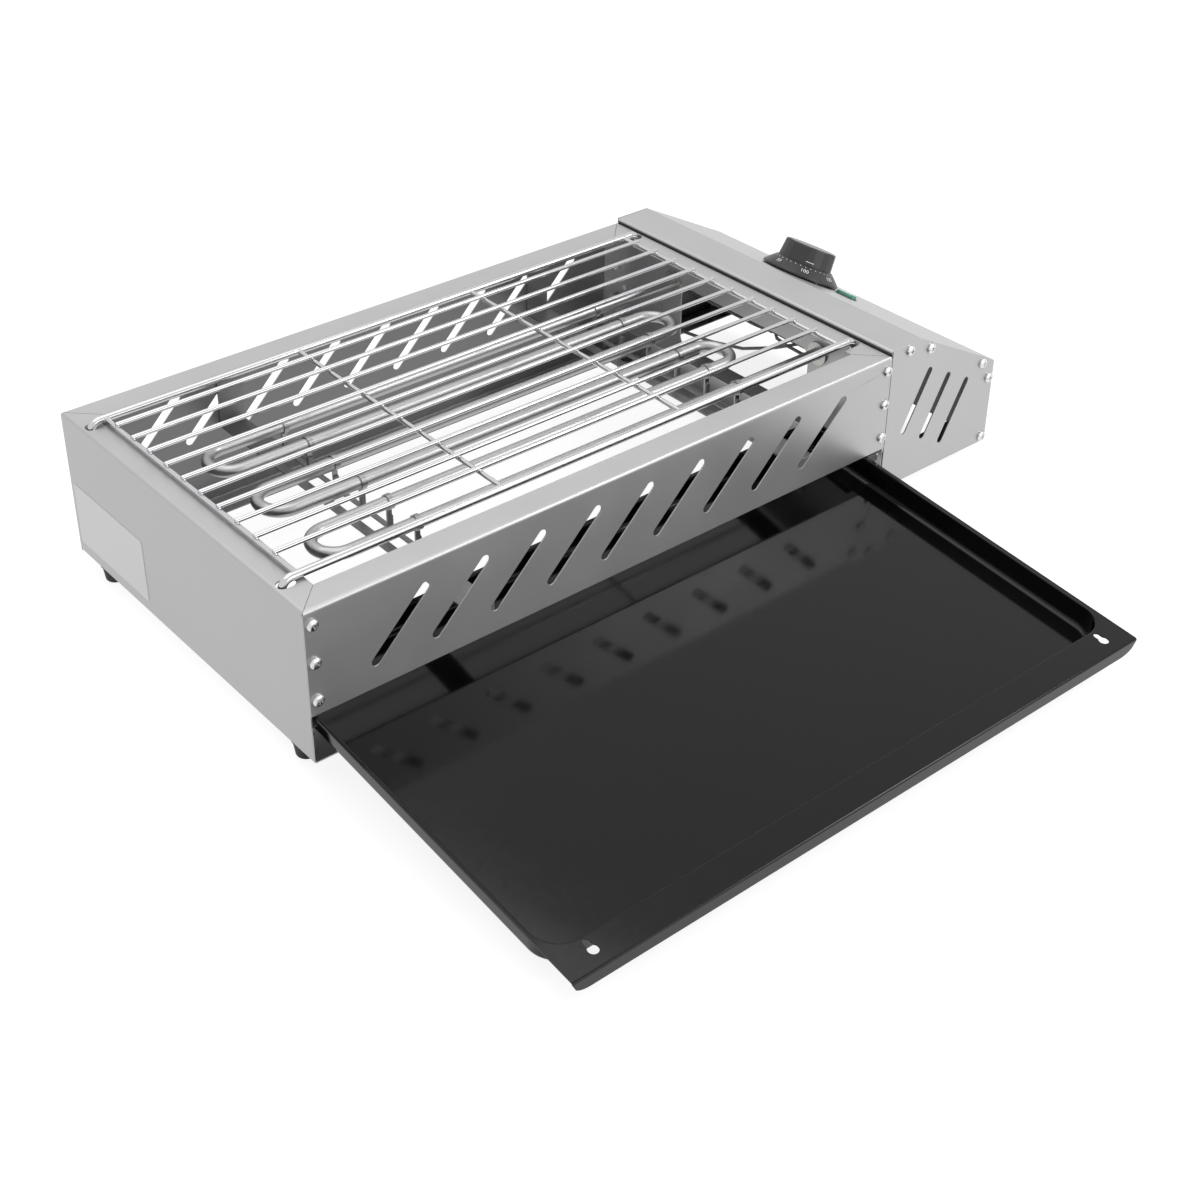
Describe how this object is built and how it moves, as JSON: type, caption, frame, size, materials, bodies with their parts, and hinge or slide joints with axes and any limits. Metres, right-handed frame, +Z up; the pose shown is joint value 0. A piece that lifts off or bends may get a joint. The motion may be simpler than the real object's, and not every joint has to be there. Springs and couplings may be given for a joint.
{
  "type": "electric table grill",
  "caption": "Low sheet metal electric table grill: slotted trough with lift-off wire rack, tube element, slide-out drip tray and a sloping control box with dial and pilot lamp.",
  "frame": {"origin": "centre of the underside of the front left foot, on the surface that the grill stands on", "axes": "+X along the trough from its left end to the control box, +Y from front to back, +Z up; the drip tray is at rest pulled out towards -Y"},
  "size_m": [0.5511, 0.4975, 0.1271],
  "materials": {
    "sheet_steel": "satin rolled sheet steel with bright fold lines",
    "bright_steel": "bright zinc plated steel",
    "tube_steel": "plain drawn steel tube",
    "rack_chrome": "bright chrome plated wire",
    "enamel": "black enamel, half gloss",
    "rubber": "matt black rubber",
    "black_plastic": "moulded black thermoset, silky",
    "grey_plastic": "grey insert, matt",
    "green_lens": "clear green plastic lens",
    "ceramic": "white glazed ceramic",
    "moulding": "pale moulded thermoset",
    "brass": "plain brass",
    "label": "bare anodised plate",
    "lead_brown": "brown silicone insulation",
    "lead_blue": "blue silicone insulation",
    "lead_green": "green silicone insulation"
  },
  "bodies": {
    "housing": {"left_panel": "sheet_steel", "front_panel": "sheet_steel", "back_panel": "sheet_steel", "partition": "sheet_steel", "control_cover": "sheet_steel", "control_cheek_front": "sheet_steel", "control_cheek_back": "sheet_steel", "runner_left": "sheet_steel", "runner_right": "sheet_steel", "strap_left": "sheet_steel", "strap_right": "sheet_steel", "clips_left": "bright_steel", "clips_right": "bright_steel", "element_tube": "tube_steel", "element_seals": "ceramic", "element_pins": "bright_steel", "element_bushings": "brass", "element_nuts": "brass", "front_panel_screws": "bright_steel", "back_panel_screws": "bright_steel", "cheek_screws_front": "bright_steel", "cheek_screws_back": "bright_steel", "strap_screws": "bright_steel", "feet": "rubber", "label_plate": "label", "regulator_body": "moulding", "regulator_tabs": "bright_steel", "regulator_screws": "bright_steel", "pilot_body": "black_plastic", "pilot_lens": "green_lens", "terminal_block": "ceramic", "terminal_screws": "brass", "block_screws": "bright_steel", "cord_gland": "black_plastic", "gland_nut": "black_plastic", "earth_screw": "brass", "lead_supply": "lead_brown", "lead_element": "lead_brown", "lead_return": "lead_blue", "lead_lamp": "lead_brown", "lead_lamp_return": "lead_blue", "lead_earth": "lead_green", "roller_pins": "bright_steel"},
    "rollers": {"tray_rollers": "black_plastic"},
    "tray": {"tray": "enamel"},
    "rack": {"rack_rod_front": "rack_chrome", "rack_rod_back": "rack_chrome", "rack_bar_1": "rack_chrome", "rack_bar_2": "rack_chrome", "rack_bar_3": "rack_chrome", "rack_bar_4": "rack_chrome", "rack_wires": "rack_chrome"},
    "dial": {"knob": "black_plastic", "knob_cap": "grey_plastic", "knob_shaft": "bright_steel"}
  },
  "joints": [
    {"name": "tray_droop", "type": "hinge", "parent": "housing", "child": "rollers", "pos_m": [0.2129, -0.0205, 0.0393], "axis": [1, 0, 0], "range_deg": [-6.1, 0]},
    {"name": "tray_slide", "type": "slide", "parent": "rollers", "child": "tray", "axis": [0, -0.9944, -0.1059], "range_m": [-0.214, 0]},
    {"name": "rack_lift", "type": "slide", "parent": "housing", "child": "rack", "axis": [0, 0, 1], "range_m": [0, 0.06]},
    {"name": "dial_turn", "type": "hinge", "parent": "housing", "child": "dial", "pos_m": [0.49567, 0.1175, 0.09917], "axis": [0.4704, 0, 0.8825], "range_deg": [-300, 0]}
  ],
  "couplings": [
    {"joint": "tray_droop", "follows": "tray_slide", "rad_per_m": 0.49587}
  ]
}
